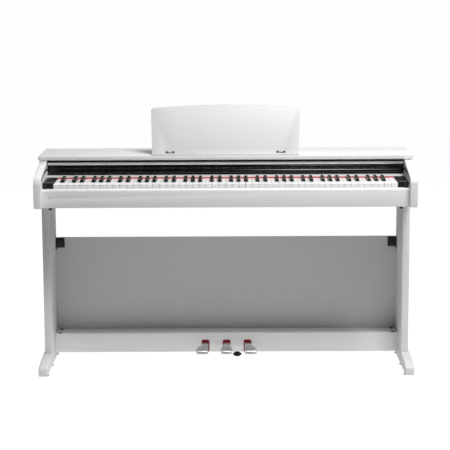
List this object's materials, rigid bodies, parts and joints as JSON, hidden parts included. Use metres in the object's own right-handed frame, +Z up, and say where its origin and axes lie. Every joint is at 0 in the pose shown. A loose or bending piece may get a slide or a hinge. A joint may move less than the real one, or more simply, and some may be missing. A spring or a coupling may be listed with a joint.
{
  "type": "digital piano on stand",
  "caption": "Digital piano on a panel stand: sliding key cover, fold-down music rest, hinged keys, pedals in a low box between two feet.",
  "frame": {"origin": "on the floor, midway between the two feet and midway between the front of the cheeks and the rear edge of the top board", "axes": "+X to the player's right, +Y to the rear, +Z up"},
  "size_m": [1.37, 0.448, 0.9747],
  "materials": {
    "white_panel": "white laminate with a fine embossed grain",
    "white_plastic": "satin moulding",
    "gray_strip": "matt",
    "red_felt": "felt",
    "black_block": "fine texture",
    "black_gloss": "polished",
    "black_rubber": "matt",
    "black_plastic": "matt moulding",
    "red_lamp": "clear dome",
    "steel": "zinc plated",
    "circuit": "circuit board",
    "speaker_paper": "pressed paper",
    "glide_gray": "felted",
    "chrome": "bright plate",
    "key_white": "satin white",
    "key_black": "satin black"
  },
  "bodies": {
    "cabinet": {"left_cheek": "white_panel", "right_cheek": "white_panel", "top_board": "white_panel", "key_bed": "white_panel", "front_rail": "white_panel", "key_slip": "white_plastic", "rear_cover": "white_panel", "name_strip": "gray_strip", "felt_strip": "red_felt", "end_blocks": "black_block", "cover_bumpers": "black_rubber", "cover_rails": "black_plastic", "power_lamp": "red_lamp", "key_frame": "steel", "key_pivot_rod": "steel", "main_board": "circuit", "speakers": "speaker_paper", "rest_ledge": "white_panel", "rest_hinges": "black_plastic", "left_leg": "white_panel", "right_leg": "white_panel", "left_foot": "white_panel", "right_foot": "white_panel", "foot_glides": "glide_gray", "back_panel": "white_panel", "corner_brackets": "black_plastic", "pedal_box_front": "white_panel", "pedal_box_top": "white_panel", "pedal_slot_felts": "red_felt", "pedal_base": "steel", "pedal_shaft": "steel", "cam_caps": "black_plastic"},
    "cover_shoes": {"cover_shoes": "black_plastic"},
    "cover": {"cover_panel": "white_panel", "cover_lip": "black_gloss", "cover_rear_shaft": "steel"},
    "volume_knob": {"volume_knob": "black_plastic"},
    "power_button": {"power_button": "black_plastic"},
    "rest": {"rest_panel": "white_panel"},
    "rest_prop": {"rest_strut": "black_plastic"},
    "soft_pedal": {"soft_pedal": "chrome"},
    "sostenuto_pedal": {"sostenuto_pedal": "chrome"},
    "damper_pedal": {"damper_pedal": "chrome"},
    "level_adjuster": {"level_adjuster": "black_plastic"},
    "white_keys_low": {"white_keys_low": "key_white"},
    "white_keys_high": {"white_keys_high": "key_white"},
    "key_c4": {"key_c4": "key_white"},
    "key_d4": {"key_d4": "key_white"},
    "key_e4": {"key_e4": "key_white"},
    "key_f4": {"key_f4": "key_white"},
    "key_g4": {"key_g4": "key_white"},
    "key_a4": {"key_a4": "key_white"},
    "key_b4": {"key_b4": "key_white"},
    "black_keys_low": {"black_keys_low": "key_black"},
    "black_keys_high": {"black_keys_high": "key_black"},
    "key_c_sharp_4": {"key_c_sharp_4": "key_black"},
    "key_d_sharp_4": {"key_d_sharp_4": "key_black"},
    "key_f_sharp_4": {"key_f_sharp_4": "key_black"},
    "key_g_sharp_4": {"key_g_sharp_4": "key_black"},
    "key_a_sharp_4": {"key_a_sharp_4": "key_black"}
  },
  "joints": [
    {"name": "cover_slide", "type": "hinge", "parent": "cabinet", "child": "cover_shoes", "pos_m": [0, -0.044, 0.09591], "axis": [1, 0, 0], "range_deg": [0, 16.1]},
    {"name": "cover_tilt", "type": "hinge", "parent": "cover_shoes", "child": "cover", "pos_m": [0, -0.002, 0.74455], "axis": [1, 0, 0], "range_deg": [-13, 0]},
    {"name": "volume_turn", "type": "hinge", "parent": "cabinet", "child": "volume_knob", "pos_m": [0.63395, -0.115, 0.7174], "axis": [0, 0, 1], "range_deg": [-140, 140]},
    {"name": "power_press", "type": "slide", "parent": "cabinet", "child": "power_button", "axis": [0, 0, -1], "range_m": [0, 0.002], "stiffness_N_per_m": 300, "springref_m": -0.001},
    {"name": "rest_fold", "type": "hinge", "parent": "cabinet", "child": "rest", "pos_m": [0, 0.008, 0.802], "axis": [1, 0, 0], "range_deg": [-72, 0]},
    {"name": "prop_swing", "type": "hinge", "parent": "rest", "child": "rest_prop", "pos_m": [0, 0.03263, 0.8697], "axis": [1, 0, 0], "range_deg": [0, 144]},
    {"name": "leveller_turn", "type": "hinge", "parent": "cabinet", "child": "level_adjuster", "pos_m": [0.041, 0.1545, 0], "axis": [0, 0, 1], "continuous": true},
    {"name": "soft_pedal_press", "type": "hinge", "parent": "cabinet", "child": "soft_pedal", "pos_m": [-0.08, 0.19, 0.052], "axis": [1, 0, 0], "range_deg": [0, 6.5], "stiffness_Nm_per_rad": 10, "springref_deg": -6.88},
    {"name": "sostenuto_pedal_press", "type": "hinge", "parent": "cabinet", "child": "sostenuto_pedal", "pos_m": [0, 0.19, 0.052], "axis": [1, 0, 0], "range_deg": [0, 6.5], "stiffness_Nm_per_rad": 10, "springref_deg": -6.88},
    {"name": "damper_pedal_press", "type": "hinge", "parent": "cabinet", "child": "damper_pedal", "pos_m": [0.08, 0.19, 0.052], "axis": [1, 0, 0], "range_deg": [0, 6.5], "stiffness_Nm_per_rad": 10, "springref_deg": -6.88},
    {"name": "white_keys_low_press", "type": "hinge", "parent": "cabinet", "child": "white_keys_low", "pos_m": [0, 0.045, 0.7], "axis": [1, 0, 0], "range_deg": [0, 2.6], "stiffness_Nm_per_rad": 23, "springref_deg": -9.74},
    {"name": "white_keys_high_press", "type": "hinge", "parent": "cabinet", "child": "white_keys_high", "pos_m": [0, 0.045, 0.7], "axis": [1, 0, 0], "range_deg": [0, 2.6], "stiffness_Nm_per_rad": 22, "springref_deg": -9.74},
    {"name": "key_c4_press", "type": "hinge", "parent": "cabinet", "child": "key_c4", "pos_m": [0, 0.045, 0.7], "axis": [1, 0, 0], "range_deg": [0, 2.6], "stiffness_Nm_per_rad": 1, "springref_deg": -9.74},
    {"name": "key_d4_press", "type": "hinge", "parent": "cabinet", "child": "key_d4", "pos_m": [0, 0.045, 0.7], "axis": [1, 0, 0], "range_deg": [0, 2.6], "stiffness_Nm_per_rad": 1, "springref_deg": -9.74},
    {"name": "key_e4_press", "type": "hinge", "parent": "cabinet", "child": "key_e4", "pos_m": [0, 0.045, 0.7], "axis": [1, 0, 0], "range_deg": [0, 2.6], "stiffness_Nm_per_rad": 1, "springref_deg": -9.74},
    {"name": "key_f4_press", "type": "hinge", "parent": "cabinet", "child": "key_f4", "pos_m": [0, 0.045, 0.7], "axis": [1, 0, 0], "range_deg": [0, 2.6], "stiffness_Nm_per_rad": 1, "springref_deg": -9.74},
    {"name": "key_g4_press", "type": "hinge", "parent": "cabinet", "child": "key_g4", "pos_m": [0, 0.045, 0.7], "axis": [1, 0, 0], "range_deg": [0, 2.6], "stiffness_Nm_per_rad": 1, "springref_deg": -9.74},
    {"name": "key_a4_press", "type": "hinge", "parent": "cabinet", "child": "key_a4", "pos_m": [0, 0.045, 0.7], "axis": [1, 0, 0], "range_deg": [0, 2.6], "stiffness_Nm_per_rad": 1, "springref_deg": -9.74},
    {"name": "key_b4_press", "type": "hinge", "parent": "cabinet", "child": "key_b4", "pos_m": [0, 0.045, 0.7], "axis": [1, 0, 0], "range_deg": [0, 2.6], "stiffness_Nm_per_rad": 1, "springref_deg": -9.74},
    {"name": "black_keys_low_press", "type": "hinge", "parent": "cabinet", "child": "black_keys_low", "pos_m": [0, 0.045, 0.7], "axis": [1, 0, 0], "range_deg": [0, 2.6], "stiffness_Nm_per_rad": 16, "springref_deg": -9.74},
    {"name": "black_keys_high_press", "type": "hinge", "parent": "cabinet", "child": "black_keys_high", "pos_m": [0, 0.045, 0.7], "axis": [1, 0, 0], "range_deg": [0, 2.6], "stiffness_Nm_per_rad": 15, "springref_deg": -9.74},
    {"name": "key_c_sharp_4_press", "type": "hinge", "parent": "cabinet", "child": "key_c_sharp_4", "pos_m": [0, 0.045, 0.7], "axis": [1, 0, 0], "range_deg": [0, 2.6], "stiffness_Nm_per_rad": 1, "springref_deg": -9.74},
    {"name": "key_d_sharp_4_press", "type": "hinge", "parent": "cabinet", "child": "key_d_sharp_4", "pos_m": [0, 0.045, 0.7], "axis": [1, 0, 0], "range_deg": [0, 2.6], "stiffness_Nm_per_rad": 1, "springref_deg": -9.74},
    {"name": "key_f_sharp_4_press", "type": "hinge", "parent": "cabinet", "child": "key_f_sharp_4", "pos_m": [0, 0.045, 0.7], "axis": [1, 0, 0], "range_deg": [0, 2.6], "stiffness_Nm_per_rad": 1, "springref_deg": -9.74},
    {"name": "key_g_sharp_4_press", "type": "hinge", "parent": "cabinet", "child": "key_g_sharp_4", "pos_m": [0, 0.045, 0.7], "axis": [1, 0, 0], "range_deg": [0, 2.6], "stiffness_Nm_per_rad": 1, "springref_deg": -9.74},
    {"name": "key_a_sharp_4_press", "type": "hinge", "parent": "cabinet", "child": "key_a_sharp_4", "pos_m": [0, 0.045, 0.7], "axis": [1, 0, 0], "range_deg": [0, 2.6], "stiffness_Nm_per_rad": 1, "springref_deg": -9.74}
  ],
  "couplings": [
    {"joint": "cover_tilt", "follows": "cover_slide", "ratio": -0.7438},
    {"joint": "prop_swing", "follows": "rest_fold", "ratio": -2}
  ]
}
